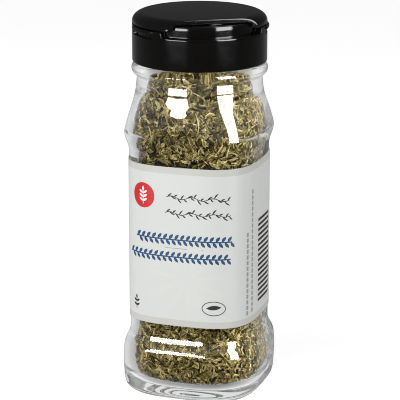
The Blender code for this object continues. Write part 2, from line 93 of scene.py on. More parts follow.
# Heights of the fill: the leaves' floor and top, the stretch that the label hides, and where the
# two pieces of leaves meet
FILL_FLOOR, FILL_TOP, HIDDEN_FROM, HIDDEN_TO, HALVES_MEET = 3.9, 122, 27, 84, 60
FILL_LIMIT, CORE_BOTTOM, CORE_TOP, CORE_DEPTH = 122.3, 4.8, 121.4, 2.0

# Label
LABEL_BOTTOM, LABEL_TOP, LABEL_HALF, LABEL_THICKNESS, LABEL_SQUARE = 27.4, 83.3, 22.6, 0.2, 3.3
LABEL_START, LABEL_END = 125, 455
# Middle of the label's faint wheel from the jar's axis and foot, and its count of rays
WHEEL_ACROSS, WHEEL_UP, WHEEL_RAYS = 3.3, 44.3, 11.0
# On the label, as distance round it from its front's middle, and height
SEAL, SEAL_RADIUS, SEAL_SPRIG = (-13.2, 72.6), 4.4, (-13.2, 69.6)
OVAL, OVAL_WIDE, OVAL_HIGH = (12.2, 34.6), 4.0, 2.45

# Cap, in its own frame
CAP_BOTTOM, CAP_TURN = 116.1, math.radians(33)
CAP_RADIUS, CAP_BORE = 23.0, 21.0
LEDGE, RIM_TOP = 10.9, 12.7
RECESS_ANGLE, SLOT_FROM, SLOT_TO = 49, 59, 91
SLOT_BOTTOM, SLOT_TOP, SLOT_DEPTH = 9.8, 11.5, 1.1
RIB_TOP, RIB_PROUD, RIB_LOWERED = 12.3, 0.6, 1.6
PLATFORM_RADIUS, PLATFORM_WALL, PLATFORM_TOP = 20.7, 13.6, 14.75
WELL_RADIUS, DECK_BOTTOM, DECK_TOP = 15.5, 10.5, 11.8
HOLE_RADIUS, HOLE_CIRCLE = 2.6, 9.0
FLAP_BOTTOM, FLAP_TOP, FLAP_CROWN, FLAP_FRONT = 13.0, 17.0, 0.35, 17.0
FLAP_ROUND, FLAP_DROP = 4.0, 3.1
HINGE_Y, HINGE_Z, KNUCKLE, KNUCKLE_CLEARANCE = 23.0, 13.0, 1.6, 0.3
EAR_FROM, EAR_TO, EAR_BORE = 4.2, 6.6, 1.05
# Radius and height of the flap's plug ring and of one peg, and place and radius of its barrel
PLUG = [(14.1, 15.3), (14.1, 12.2), (15.05, 12.2), (15.05, 15.3)]
PEG = [(0, 11.1), (2.1, 11.1), (2.1, 15.3), (0, 15.3)]
BARREL = [(-6.3, 0), (-6.3, 0.8), (-3.9, 0.8), (-3.9, 1.6), (3.9, 1.6), (3.9, 0.8), (6.3, 0.8), (6.3, 0)]
# Underside of the flap: radii of its rows, and heights at the radii between which it rises
UNDER_ROWS = [22.5, 22.05, 21.9, 21.88, 21.7, 21.3, 20.9, 19.0, 14.0, 7.0, 0.0]
UNDER_RADII, UNDER_HEIGHTS = [20.9, 21.3, 21.88, 21.92], [15.0, 14.9, 14.3, FLAP_BOTTOM]


# Shapes

def flow(stations, steps):
    """Catmull-Rom curve through rows of numbers, steps points to a gap: each gap is the cubic
    that leaves and meets its ends along half the difference of their neighbours."""
    rows = np.asarray(stations, float)
    padded = np.vstack([rows[:1], rows, rows[-1:]])
    a, b, c, d = padded[:-3, None], padded[1:-2, None], padded[2:-1, None], padded[3:, None]
    t = (np.arange(steps) / steps)[None, :, None]
    curve = 0.5 * (2 * b + (c - a) * t + (2 * a - 5 * b + 4 * c - d) * t**2
                   + (3 * b - a - 3 * c + d) * t**3)
    return np.vstack([curve.reshape(-1, rows.shape[1]), rows[-1:]])


def spread(first, last, steps):
    """Rows of numbers in equal steps from one row to another, the last left out."""
    t = (np.arange(steps) / steps)[:, None]
    return np.asarray(first, float) * (1 - t) + np.asarray(last, float) * t


def arc(centre_r, centre_z, radius, start, end, steps):
    """Rows of height and radius on a circular arc, from start to end in degrees."""
    t = np.radians(np.linspace(start, end, steps + 1))
    return np.stack([centre_z + radius * np.sin(t), centre_r + radius * np.cos(t), 2 + 0 * t], -1)


def around(radius, angle, z):
    """Points at a radius and an angle round the jar's axis, and at a height."""
    return np.stack([radius * np.cos(angle), radius * np.sin(angle), z + 0 * radius], -1)


def rounded_reach(angle, squareness):
    """Radius of a rounded square of half-width 1 in each direction: the sum of |cos| and |sin|,
    each to the power of the squareness, to the power of minus one over the squareness."""
    total = np.abs(np.cos(angle)) ** squareness + np.abs(np.sin(angle)) ** squareness
    return total ** (-1 / squareness)


def section_rows(stations, angles):
    """A closed section at every station: half-width times the rounded square's reach."""
    z, half, squareness = (np.asarray(stations)[:, k, None] for k in range(3))
    return around(half * rounded_reach(angles[None, :], squareness), angles, z)


def rounded_path(corners, cuts, steps=4):
    """A path whose corners are parabolas, each from a cut's length before its corner to as far
    after it. The corners may be a stack of paths, worked out together."""
    before = np.roll(corners, 1, axis=-2) - corners
    after = np.roll(corners, -1, axis=-2) - corners
    reach_before = np.maximum(np.linalg.norm(before, axis=-1, keepdims=True), 1e-9)
    reach_after = np.maximum(np.linalg.norm(after, axis=-1, keepdims=True), 1e-9)
    cut = np.minimum(np.asarray(cuts, float)[:, None], 0.48 * np.minimum(reach_before, reach_after))
    start = corners + before / reach_before * cut
    end = corners + after / reach_after * cut
    t = np.linspace(0, 1, steps + 1)[:, None]
    path = ((1 - t) ** 2 * start[..., None, :] + 2 * t * (1 - t) * corners[..., None, :]
            + t**2 * end[..., None, :])
    return path.reshape(*corners.shape[:-2], -1, corners.shape[-1])


def turned_rows(path, angles):
    """Rows round the axis from a path of radius and height, or from one path per angle."""
    path = np.broadcast_to(path, (len(angles), *path.shape[-2:]))
    return around(path[..., 0].T, angles, path[..., 1].T)


def unit(vectors):
    """Each vector at length 1."""
    return vectors / np.linalg.norm(vectors, axis=-1, keepdims=True)


def ease(value, low, high):
    """0 below low, 1 above high, and the cubic 3t^2 - 2t^3 between."""
    t = np.clip((value - low) / (high - low), 0, 1)
    return t * t * (3 - 2 * t)


def grid_faces(rows, columns, close_rows=False, close_columns=True):
    """Quads between neighbouring points of a grid that is numbered row by row."""
    i, j = np.meshgrid(np.arange(rows - (not close_rows)), np.arange(columns - (not close_columns)),
                       indexing="ij")
    up, right = (i + 1) % rows, (j + 1) % columns
    corners = [i * columns + j, i * columns + right, up * columns + right, up * columns + j]
    return np.stack(corners, -1).reshape(-1, 4)


def fill_mesh(name, points, face_sets):
    """Puts whole arrays of points, in millimetres, and of quads or triangles into a mesh."""
    mesh = bpy.data.meshes.new(name)
    mesh.vertices.add(len(points))
    mesh.vertices.foreach_set("co", (np.asarray(points) * MM).astype(np.float32).ravel())
    sizes = np.concatenate([np.full(len(faces), faces.shape[1]) for faces in face_sets])
    corners = np.concatenate([faces.ravel() for faces in face_sets])
    mesh.loops.add(len(corners))
    mesh.loops.foreach_set("vertex_index", corners.astype(np.int32))
    mesh.polygons.add(len(sizes))
    starts = np.concatenate([[0], np.cumsum(sizes)[:-1]])
    mesh.polygons.foreach_set("loop_start", starts.astype(np.int32))
    mesh.update(calc_edges=True)
    return mesh


def close_and_turn_out(mesh):
    """Merges the doubles at seams and poles, then faces every closed shell outward."""
    shell = bmesh.new()
    shell.from_mesh(mesh)
    bmesh.ops.remove_doubles(shell, verts=shell.verts, dist=1e-6)
    bmesh.ops.recalc_face_normals(shell, faces=shell.faces)
    shell.to_mesh(mesh)
    shell.free()


def add_piece(name, mesh, material, body, stands_for=(), sharp=None):
    """Shows a mesh as a piece that rides on a body and may stand for the frame's nodes. Edges
    that turn by more than sharp degrees stay crisp, and with none given the whole is smooth."""
    mesh.shade_smooth()
    if sharp:
        mesh.set_sharp_from_angle(angle=math.radians(sharp))
    mesh.materials.append(material)
    piece = bpy.data.objects.new(name, mesh)
    bpy.context.scene.collection.objects.link(piece)
    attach(piece, body)
    if stands_for:
        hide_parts(*stands_for)


def grid_piece(name, grids, material, body, stands_for=(), sharp=None):
    """One piece from several closed grids of points, each with its rows closed or not."""
    points, faces, count = [], [], 0
    for grid, close_rows in grids:
        rows, columns = grid.shape[:2]
        faces.append(grid_faces(rows, columns, close_rows) + count)
        points.append(grid.reshape(-1, 3))
        count += rows * columns
    mesh = fill_mesh(name, np.concatenate(points), faces)
    close_and_turn_out(mesh)
    add_piece(name, mesh, material, body, stands_for, sharp)


def on_cap(points):
    """Turns and raises points from the cap's own frame into the jar's."""
    c, s = math.cos(CAP_TURN), math.sin(CAP_TURN)
    x, y, z = points[..., 0], points[..., 1], points[..., 2]
    return np.stack([c * x - s * y, s * x + c * y, z + CAP_BOTTOM], -1)


def hinge_rows(path, steps):
    """Rows turned round the hinge's line, from a path of place along it and radius."""
    t = TURN * np.arange(steps) / steps
    along, r = path[:, 0, None], path[:, 1, None]
    return np.stack([along + 0 * t, HINGE_Y + r * np.cos(t), HINGE_Z + r * np.sin(t)], -1)


def clear_hinge(points, inner, outer, radius):
    """Pushes points that are within a radius of the hinge's line straight out to that radius,
    where their distance from the middle is between inner and outer."""
    away = points[..., 1:] - np.array([HINGE_Y, HINGE_Z])
    reach = np.maximum(np.linalg.norm(away, axis=-1, keepdims=True), 1e-6)
    across = np.abs(points[..., :1])
    inside = (reach < radius) & (across > inner) & (across < outer)
    moved = np.array([HINGE_Y, HINGE_Z]) + away / reach * radius
    return np.concatenate([points[..., :1], np.where(inside, moved, points[..., 1:])], -1)


# Finishes

def new_material(name):
    """A new material, its node tree and its shader."""
    material = bpy.data.materials.new(name)
    material.use_nodes = True
    return material, material.node_tree, material.node_tree.nodes["Principled BSDF"]


def fill_inputs(tree, node, inputs):
    """Links each of a node's inputs to the socket given for it, or sets it to the value given."""
    for key, value in inputs.items():
        if isinstance(value, bpy.types.NodeSocket):
            tree.links.new(value, node.inputs[key])
        else:
            node.inputs[key].default_value = value


def add_node(tree, kind, inputs=(), **values):
    node = tree.nodes.new(kind)
    for key, value in values.items():
        setattr(node, key, value)
    fill_inputs(tree, node, dict(inputs))
    return node


def object_place(tree):
    return add_node(tree, "ShaderNodeTexCoord").outputs["Object"]


def add_noise(tree, place, scale, detail=3.0, roughness=0.5):
    """Noise over an object's own place, with scale in bumps to the metre."""
    node = add_node(tree, "ShaderNodeTexNoise", {
        "Vector": place, "Scale": scale, "Detail": detail, "Roughness": roughness})
    return node.outputs["Fac"]


def add_ramp(tree, factor, stops):
    node = add_node(tree, "ShaderNodeValToRGB", {"Fac": factor})
    ramp = node.color_ramp
    while len(ramp.elements) < len(stops):
        ramp.elements.new(1.0)
    for element, (position, colour) in zip(ramp.elements, stops):
        element.position, element.color = position, (*colour, 1)
    return node.outputs["Color"]


def add_range(tree, value, low, high, to_low, to_high):
    node = add_node(tree, "ShaderNodeMapRange", {
        "Value": value, "From Min": low, "From Max": high, "To Min": to_low, "To Max": to_high})
    return node.outputs["Result"]


def add_bump(tree, surface, height, strength, distance):
    node = add_node(tree, "ShaderNodeBump", {
        "Height": height, "Strength": strength, "Distance": distance})
    tree.links.new(node.outputs["Normal"], surface.inputs["Normal"])


def blend_colour(tree, factor, first, second):
    """Goes from the first colour to the second as the factor goes from 0 to 1."""
    colours = [c if isinstance(c, bpy.types.NodeSocket) else (*c, 1) for c in (first, second)]
    node = add_node(tree, "ShaderNodeMix", {0: factor, 6: colours[0], 7: colours[1]}, data_type="RGBA")
    return node.outputs[2]


def math_node(tree, operation, *values):
    node = add_node(tree, "ShaderNodeMath", dict(enumerate(values)), operation=operation)
    return node.outputs[0]


def product(tree, first, second):
    """One number or socket times another."""
    return math_node(tree, "MULTIPLY", first, second)


def share_of(tree, share, first, second):
    """The first value times a share, plus the second times what the share leaves of one."""
    rest = math_node(tree, "SUBTRACT", 1.0, share)
    return math_node(tree, "ADD", product(tree, share, first), product(tree, rest, second))


def clear_glass(settings):
    """Clear pressed glass with a faint slow waviness. Lamps reach what is inside it."""
    material, tree, surface = new_material("clear_glass")
    fill_inputs(tree, surface, {
        "Base Color": (*settings.tint, 1), "Roughness": 0.0, "IOR": 1.5, "Transmission Weight": 1.0,
        "Specular IOR Level": 0.35})
    add_bump(tree, surface, add_noise(tree, object_place(tree), 70, 1.5), 0.02, 0.0012)
    open_way = add_node(tree, "ShaderNodeBsdfTransparent", {"Color": (*settings.tint, 1)})
    shadow = add_node(tree, "ShaderNodeLightPath").outputs["Is Shadow Ray"]
    mix = add_node(tree, "ShaderNodeMixShader", {
        0: shadow, 1: surface.outputs[0], 2: open_way.outputs[0]})
    tree.links.new(mix.outputs[0], tree.nodes["Material Output"].inputs["Surface"])
    return material


def label_film(settings):
    """Satin white film with a darker clear margin at its top and bottom and a very faint warm
    wheel of rays low on the front."""
    material, tree, surface = new_material("label_film")
    place = object_place(tree)
    x, y, z = add_node(tree, "ShaderNodeSeparateXYZ", {"Vector": place}).outputs
    middle = (LABEL_BOTTOM + LABEL_TOP) / 2 * MM
    inset = ((LABEL_TOP - LABEL_BOTTOM) / 2 - settings.margin / MM) * MM
    soft_edge = 0.00006
    from_middle = math_node(tree, "ABSOLUTE", math_node(tree, "SUBTRACT", z, middle))
    margin = add_range(tree, from_middle, inset - soft_edge, inset + soft_edge, 0, 1)
    across = math_node(tree, "SUBTRACT", x, WHEEL_ACROSS * MM)
    up = math_node(tree, "SUBTRACT", z, WHEEL_UP * MM)
    rays = math_node(tree, "SINE", product(tree, math_node(tree, "ARCTAN2", up, across), WHEEL_RAYS))
    reach = math_node(tree, "SQRT", math_node(
        tree, "ADD", product(tree, across, across), product(tree, up, up)))
    near = product(tree, add_range(tree, reach, 0.0015, 0.003, 0, 1),
                   add_range(tree, reach, 0.009, 0.015, 1, 0))
    front = math_node(tree, "LESS_THAN", y, 0.0)
    wheel = product(tree, product(tree, near, front), add_range(tree, rays, 0.55, 0.95, 0, 0.28))
    cloud = add_range(tree, add_noise(tree, place, 45, 3), 0.3, 0.7, 0, 0.35)
    white = blend_colour(tree, cloud, settings.white, tuple(0.96 * c for c in settings.white))
    warm = blend_colour(tree, wheel, white, (0.80, 0.755, 0.67))
    fill_inputs(tree, surface, {
        "Base Color": blend_colour(tree, margin, warm, settings.margin_colour),
        "Roughness": add_range(tree, add_noise(tree, place, 2500, 2), 0.3, 0.7, 0.36, 0.46),
        "Specular IOR Level": 0.3})
    add_bump(tree, surface, add_noise(tree, place, 160, 2), 0.12, 0.0004)
    return material


def printing_ink(name, colour):
    """Printed ink whose cover varies a little."""
    material, tree, surface = new_material(name)
    patch = add_noise(tree, object_place(tree), 900, 3)
    lighter = tuple(min(1.0, 1.2 * c + 0.01) for c in colour)
    mottled = blend_colour(tree, add_range(tree, patch, 0.35, 0.7, 0, 0.6), colour, lighter)
    fill_inputs(tree, surface, {
        "Base Color": mottled, "Roughness": 0.42, "Specular IOR Level": 0.3})
    return material


def dried_leaf(name, stops):
    """Dry leaf or stem: one of several browns and greens to each bit, mottled, with fine veins. The
    tint read here also holds each bit's painted edge highlight and painted keel shade.
    """
    material, tree, surface = new_material(name)
    place = object_place(tree)
    # tint: the bit's own tone plus its painted edge highlight and painted keel shade
    tint = add_node(tree, "ShaderNodeAttribute", attribute_name="tint").outputs["Fac"]
    speck = add_range(tree, add_noise(tree, place, 900, 4, 0.7), 0.3, 0.7, -0.24, 0.24)
    shade = math_node(tree, "ADD", tint, speck)
    fill_inputs(tree, surface, {
        "Base Color": add_ramp(tree, shade, stops), "Roughness": 0.8, "Specular IOR Level": 0.0})
    add_bump(tree, surface, add_noise(tree, place, 3200, 3), 0.5, 0.00025)
    return material


def painted_shade_filling():
    """What shows between the outer leaves: olive clumps painted near black, as painted shade for the leaves
    deep in the jar.
    """
    material, tree, surface = new_material("painted_shade_filling")
    patch = add_noise(tree, object_place(tree), 700, 5, 0.65)
    # Near-black stops: painted shade, darker than the leaves' own colour
    shade = add_ramp(tree, patch, [
        (0.35, (0.003, 0.002, 0.001)), (0.52, (0.018, 0.013, 0.004)), (0.68, (0.07, 0.05, 0.018))])
    fill_inputs(tree, surface, {"Base Color": shade, "Roughness": 0.9, "Specular IOR Level": 0.1})
    add_bump(tree, surface, patch, 0.8, 0.0008)
    return material


def liner_board():
    """Pale board with short flecked fibres."""
    material, tree, surface = new_material("liner_board")
    fibres = add_noise(tree, object_place(tree), 1800, 4, 0.65)
    shade = add_ramp(tree, fibres, [(0.3, (0.60, 0.57, 0.50)), (0.6, (0.78, 0.76, 0.70))])
    fill_inputs(tree, surface, {"Base Color": shade, "Roughness": 0.85})
    add_bump(tree, surface, fibres, 0.4, 0.0002)
    return material


def moulded_black(name, colour, roughness):
    """Black moulded plastic: satin, with a slow change of gloss and a very fine texture."""
    material, tree, surface = new_material(name)
    place = object_place(tree)
    lifted = tuple(1.6 * c for c in colour)
    fill_inputs(tree, surface, {
        "Roughness": add_range(
            tree, add_noise(tree, place, 260, 3), 0.3, 0.7, roughness - 0.02, roughness + 0.02),
        "Base Color": blend_colour(tree, add_noise(tree, place, 90, 2), colour, lifted),
        "Specular IOR Level": 0.3})
    add_bump(tree, surface, add_noise(tree, place, 5200, 2), 0.06, 0.0001)
    return material


def colour_setting(name, description, default):
    return FloatVectorProperty(
        name=name, description=description, default=default, subtype="COLOR", min=0, max=1)


# Glass jar

def crisp_end(stations):
    """Two more stations close before the last one, so that shading turns only at the very end."""
    last, back = stations[-1], stations[-2] - stations[-1]
    return np.vstack([stations[:-1], last + 0.06 * back, last + 0.03 * back, last])


def crisp_start(stations):
    """The same at the other end: two more stations close after the first one."""
    return crisp_end(stations[::-1])[::-1]


def glass_stations():
    """Stations from the underside's middle, up the outside, over the lip and down to the floor."""
    heel = flow(HEEL_AND_BASE, 14)
    lip_below, shoulder = crisp_end(flow(PANEL_TO_LIP, 9)), crisp_start(flow(LIP_TO_NECK, 9))
    bead = arc(BEAD_RADIUS - BEAD_ROUND, BEAD_TOP - BEAD_ROUND, BEAD_ROUND, -86, 80, 16)
    foot = [(BEAD_TOP, FINISH_RADIUS + 0.3, 2.0), (BEAD_TOP + 0.3, FINISH_RADIUS, 2.0)]
    lip_start = RIM_HEIGHT - LIP_ROUND
    finish = spread((BEAD_TOP + 0.5, FINISH_RADIUS, 2.0), (lip_start, FINISH_RADIUS, 2.0), 36)
    lip = arc(FINISH_RADIUS - LIP_ROUND, lip_start, LIP_ROUND, 0, 90, 6)
    neck = spread(MOUTH[1], HOLLOW[0], 6)
    return np.vstack([
        flow(UNDERSIDE, 5), heel, spread(heel[-1], lip_below[0], 8)[1:], lip_below, shoulder, bead,
        foot, finish, lip, MOUTH[:1], neck, crisp_end(flow(HOLLOW, 9)),
        crisp_start(flow(BELOW_LIP, 9)), spread(BELOW_LIP[-1], INNER_HEEL[0], 8)[1:],
        flow(INNER_HEEL, 10), spread(INNER_HEEL[-1], FLOOR_CENTRE, 4)[1:], [FLOOR_CENTRE],
    ])


def add_neck_thread(points, angles):
    """Raises one right-handed turn of thread on the outside of the neck's finish: a ridge whose
    middle climbs by the pitch in one turn, and whose ends sink away over a quarter turn."""
    z = points[..., 2]
    turn = (angles % TURN) / TURN
    offset = np.abs(z - (THREAD_START + THREAD_PITCH * turn))
    ends = np.clip(4 * np.minimum(turn, 1 - turn) + 0.15, 0, 1)
    ridge = np.clip((THREAD_FOOT - offset) / (THREAD_FOOT / 2), 0, 1) * ends
    radius = np.hypot(points[..., 0], points[..., 1])
    on_finish = (z > BEAD_TOP + 0.4) & (z < RIM_HEIGHT - LIP_ROUND) & (radius > FINISH_RADIUS - 0.2)
    grow = 1 + np.where(on_finish, THREAD_CREST * ridge, 0) / np.maximum(radius, 1)
    return np.concatenate([points[..., :2] * grow[..., None], points[..., 2:]], -1)


class GlassSettings(PropertyGroup):
    tint: colour_setting(
        "Glass tint", "Colour of the light that the glass lets through", (0.975, 0.985, 0.98))
    columns: IntProperty(
        name="Columns", description="Points round the jar", default=192, min=24, max=300)


class SPICEJAR_OT_glass(Operator):
    """Builds the glass jar: one closed surface over its outside, lip, hollow and floor"""
    bl_idname = "spice_jar.glass"
    bl_label = "Glass jar"

    def execute(self, context):
        settings = context.scene.spice_jar_glass
        angles = FRONT + TURN * (np.arange(settings.columns) + 0.5) / settings.columns
        rows = section_rows(glass_stations(), angles)
        grid_piece("jar_glass", [(add_neck_thread(rows, angles), False)], clear_glass(settings), "jar",
                   ["glass_jar"], sharp=50)
        return {"FINISHED"}


# Herb fill

FILL_STATIONS = np.vstack([
    [(126.0, 17.0, 2.0)], flow(HOLLOW, 6), flow(BELOW_LIP, 6), flow(INNER_HEEL, 6)])[::-1]


def hollow_at(z):
    """Half-width and squareness of the jar's hollow at each height."""
    return [np.interp(z, FILL_STATIONS[:, 0], FILL_STATIONS[:, k]) for k in (1, 2)]


def keep_in_hollow(points, clearance):
    """Draws points in to a clearance from the hollow's wall, floor and top."""
    z = np.clip(points[..., 2], FLOOR_CENTRE[0] + clearance, FILL_LIMIT)
    half, squareness = hollow_at(z)
    angle = np.arctan2(points[..., 1], points[..., 0])
    limit = (half - clearance) * rounded_reach(angle, squareness)
    reach = np.maximum(np.hypot(points[..., 0], points[..., 1]), 1e-6)
    share = np.minimum(1, limit / reach)
    return np.stack([points[..., 0] * share, points[..., 1] * share, z], -1)


def wall_places(rng, count, zones, depths):
    """Random places just inside the hollow's wall, with the wall's own normal there."""
    lows, highs, weights = (np.array(column, float) for column in zip(*zones))
    zone = rng.choice(len(zones), count, p=weights / weights.sum())
    z = lows[zone] + (highs - lows)[zone] * rng.random(count)
    angle = TURN * rng.random(count)
    half, squareness = hollow_at(z)
    slope = hollow_at(z + 0.5)[0] - hollow_at(z - 0.5)[0]
    depth = depths[0] + (depths[1] - depths[0]) * rng.random(count) ** 1.4
    reach = (half - depth) * rounded_reach(angle, squareness)
    places = around(reach, angle, z)
    flat = places * (1, 1, 0) / half[:, None]
    normal = unit(np.sign(flat) * np.abs(flat) ** (squareness[:, None] - 1))
    normal[:, 2] = -slope
    return places, unit(normal)


def disc_places(rng, count, z, radius, up):
    """Random places on a level disc."""
    angle, reach = TURN * rng.random(count), radius * np.sqrt(rng.random(count))
    places = around(reach, angle, z - up * 1.2 * rng.random(count))
    return places, np.broadcast_to([0.0, 0.0, up], places.shape)


def lay_along(rng, normals, lift, lean):
    """A random direction nearly in each place's surface, and the bit's own upward direction."""
    helper = np.where(np.abs(normals[:, 2:]) > 0.9, [[1.0, 0, 0]], [[0, 0, 1.0]])
    first = unit(np.cross(helper, normals))
    second = np.cross(normals, first)
    t = TURN * rng.random(len(normals))[:, None]
    lifted = normals * rng.normal(0, lift, (len(normals), 1))
    along = unit(np.cos(t) * first + np.sin(t) * second + lifted)
    up = normals + np.cross(along, normals) * rng.normal(0, lean, (len(normals), 1))
    return along, unit(up - (up * along).sum(-1, keepdims=True) * along)


def curled_bits(rng, places, normals, length, width, curl, thickness, lift):
    """Closed curled slivers, 14 points each: a point at either end and three sections of left
    edge, ridge, right edge and keel. The middle line bends as the square of the way along, and
    the edges hang below the ridge by the curl. Returns points and the quads and triangles."""
    count = len(places)
    along, up = lay_along(rng, normals, lift, 0.4)
    side = np.cross(up, along)
    lengths = rng.uniform(*length, (count, 1))
    widths = rng.uniform(*width, (count, 1)) / 2
    bend = rng.normal(0, 0.14, (count, 1)) * lengths
    sway = rng.normal(0, 0.13, (count, 1)) * lengths
    droop = rng.uniform(*curl, (count, 1)) * widths
    t = np.repeat([-0.5, -0.3, 0, 0.3, 0.5], [1, 4, 4, 4, 1])
    full = np.repeat([0, 0.75, 1, 0.7, 0], [1, 4, 4, 4, 1])
    edge, rise, keel = (np.array([0.0, *section * 3, 0.0])
                        for section in ((-1, 0, 1, 0), (-1, 0, -1, 0), (0, 1, 0, -1)))
    go = lengths * t
    across = widths * full * edge + sway * 4 * t**2
    height = bend * 4 * t**2 + droop * full * rise + thickness / 2 * keel
    points = (places[:, None] + go[..., None] * along[:, None] + across[..., None] * side[:, None]
              + height[..., None] * up[:, None])
    k = np.arange(4)
    n = (k + 1) % 4
    quads = np.concatenate([np.stack([a + k, a + 4 + k, a + 4 + n, a + n], -1) for a in (1, 5)])
    tips = np.concatenate([
        np.stack([0 * k, 1 + k, 1 + n], -1), np.stack([0 * k + 13, 9 + n, 9 + k], -1)])
    first = 14 * np.arange(count)[:, None, None]
    return points, (quads + first).reshape(-1, 4), (tips + first).reshape(-1, 3)


def bits_piece(name, rng, groups, material, tints, rim, **shape):
    """One piece from groups of places, each bit kept in the hollow and given its own tint, to which
    the rim share adds a painted highlight along the bit's edges and painted shade on its keel."""
    places = np.concatenate([group[0] for group in groups])
    normals = np.concatenate([group[1] for group in groups])
    points, quads, tips = curled_bits(rng, places, normals, **shape)
    points = keep_in_hollow(points, 0.06)
    mesh = fill_mesh(name, points.reshape(-1, 3), [quads, tips])
    # Per point of a bit: painted highlight on its edge points and painted shade on its keel points
    edge = np.array([0.1, 1, 0, 1, -0.6, 1, -0.2, 1, -0.8, 1, 0, 1, -0.6, 0.1])
    tint = np.clip(rng.normal(*tints, len(places)), 0, 1)[:, None] + rim * (edge - 0.3)
    # The tint attribute carries the bit's own tone together with this painted edge highlight and shade
    shade = mesh.attributes.new("tint", "FLOAT", "POINT")
    shade.data.foreach_set("value", tint.ravel().astype(np.float32))
    add_piece(name, mesh, material, "jar", sharp=32)


class FillSettings(PropertyGroup):
    seed: IntProperty(name="Seed", description="Picks one arrangement of the bits", default=7, min=0)
    leaves: IntProperty(
        name="Leaves", description="Leaf bits in each half of the jar", default=7400, min=10, max=7500)
    stems: IntProperty(
        name="Stems", description="Stem bits in the whole jar", default=2400, min=10, max=8000)


class SPICEJAR_OT_fill(Operator):
    """Fills the jar: a lumpy core painted near black as shade, behind thousands of curled leaf and stem
    bits
    """
    bl_idname = "spice_jar.fill"
    bl_label = "Dried thyme"

    def execute(self, context):
        settings = context.scene.spice_jar_fill
        rng = np.random.default_rng(settings.seed)
        angles = TURN * np.arange(96) / 96
        z = np.concatenate([[CORE_BOTTOM], np.linspace(5.0, 121.2, 150), [CORE_TOP]])
        half, squareness = hollow_at(z)
        reach = half - CORE_DEPTH
        reach[[0, -1]] = 0
        rows = section_rows(np.stack([z, reach, squareness], -1), angles)
        lumps = rng.normal(0, 0.35, rows.shape[:2])[..., None]
        away = np.concatenate([rows[..., :2], 0 * rows[..., 2:]], -1)
        away /= np.maximum(np.linalg.norm(away, axis=-1, keepdims=True), 1e-6)
        # The core's near-black finish is painted shade for the packed leaves behind the outer bits.
        grid_piece("thyme_core", [(keep_in_hollow(rows + away * lumps, 0.8), False)], painted_shade_filling(),
                   "jar", ["dried_thyme"])
        leaf = dried_leaf("thyme_leaf", [
            (0.0, (0.005, 0.004, 0.001)), (0.25, (0.036, 0.027, 0.005)), (0.5, (0.121, 0.090, 0.024)),
            (0.75, (0.236, 0.185, 0.066)), (1.0, (0.50, 0.41, 0.20)),
        ])
        shape = {"length": (2.2, 5.2), "width": (0.55, 1.4), "curl": (0.2, 1.1), "thickness": 0.14,
                 "lift": 0.26}
        seen_above = (HIDDEN_TO, FILL_TOP, 1.0)
        seen_below = (FILL_FLOOR, HIDDEN_FROM, 1.0)
        halves = (
            ("thyme_leaves_upper", [seen_above, (HALVES_MEET, HIDDEN_TO, 0.12)], (420, 121.6, 16.2, 1.0)),
            ("thyme_leaves_lower", [seen_below, (HIDDEN_FROM, HALVES_MEET, 0.15)],
             (700, FILL_FLOOR, 19.0, -1.0)),
        )
        for name, zones, disc_of in halves:
            # The 0.42 below sets the leaves' painted edge highlight and painted keel shade
            bits_piece(name, rng, [
                wall_places(rng, settings.leaves, zones, (0.2, 2.3)), disc_places(rng, *disc_of),
            ], leaf, (0.47, 0.30), 0.42, **shape)
        stem = dried_leaf("thyme_stem", [
            (0.0, (0.05, 0.035, 0.012)), (0.4, (0.19, 0.14, 0.05)), (0.75, (0.38, 0.30, 0.12)),
            (1.0, (0.60, 0.50, 0.25)),
        ])
        everywhere = [seen_above, (HIDDEN_FROM, HIDDEN_TO, 0.25), seen_below]
        # The 0.05 below sets the stems' painted edge highlight and painted keel shade
        bits_piece("thyme_stems", rng, [
            wall_places(rng, settings.stems, everywhere, (0.35, 1.5)),
            disc_places(rng, 90, 121.7, 16.0, 1.0),
        ], stem, (0.55, 0.24), 0.05, length=(3.0, 8.5), width=(0.26, 0.55), curl=(0.0, 0.4),
            thickness=0.32, lift=0.1)
        return {"FINISHED"}


# Label

_turned = np.radians(np.linspace(-270, 90, 4001))
_outline = LABEL_HALF * rounded_reach(_turned, LABEL_SQUARE)[:, None] * np.stack(
    [np.cos(_turned), np.sin(_turned)], -1)
_length = np.concatenate([[0], np.cumsum(np.linalg.norm(np.diff(_outline, axis=0), axis=-1))])
_length -= np.interp(FRONT, _turned, _length)


def on_label(places, lift):
    """Carries places (distance round the label from its front's middle, height) onto its face."""
    angle = np.interp(places[..., 0], _length, _turned)
    reach = (LABEL_HALF + lift) * rounded_reach(angle, LABEL_SQUARE)
    return around(reach, angle, places[..., 1])


def ink_points(first, second, columns, lift=0.03):
    """Points of one closed layer of ink between two edges, given as equal rows of places: a top
    face a little proud of the label, and a bottom face sunk in it."""
    t = np.linspace(0, 1, columns + 1)[None, :, None]
    flat = first[:, None] * (1 - t) + second[:, None] * t
    return np.concatenate([on_label(flat, lift), on_label(flat, -0.05)[:, ::-1]], 1)


def ink_piece(name, layers, material, lift=0.03):
    """One piece from many layers of ink, each a pair of edges and its count of columns."""
    points, faces, count = [], [], 0
    for first, second, columns in layers:
        grid = ink_points(np.asarray(first, float), np.asarray(second, float), columns, lift)
        rows, across = grid.shape[:2]
        faces.append(grid_faces(rows, across) + count)
        k = np.arange(columns)
        end = np.stack([k, k + 1, across - 2 - k, across - 1 - k], -1)
        faces += [end + count, end[:, ::-1] + count + (rows - 1) * across]
        points.append(grid.reshape(-1, 3))
        count += rows * across
    mesh = fill_mesh(name, np.concatenate(points), faces)
    close_and_turn_out(mesh)
    add_piece(name, mesh, material, "jar", sharp=30)


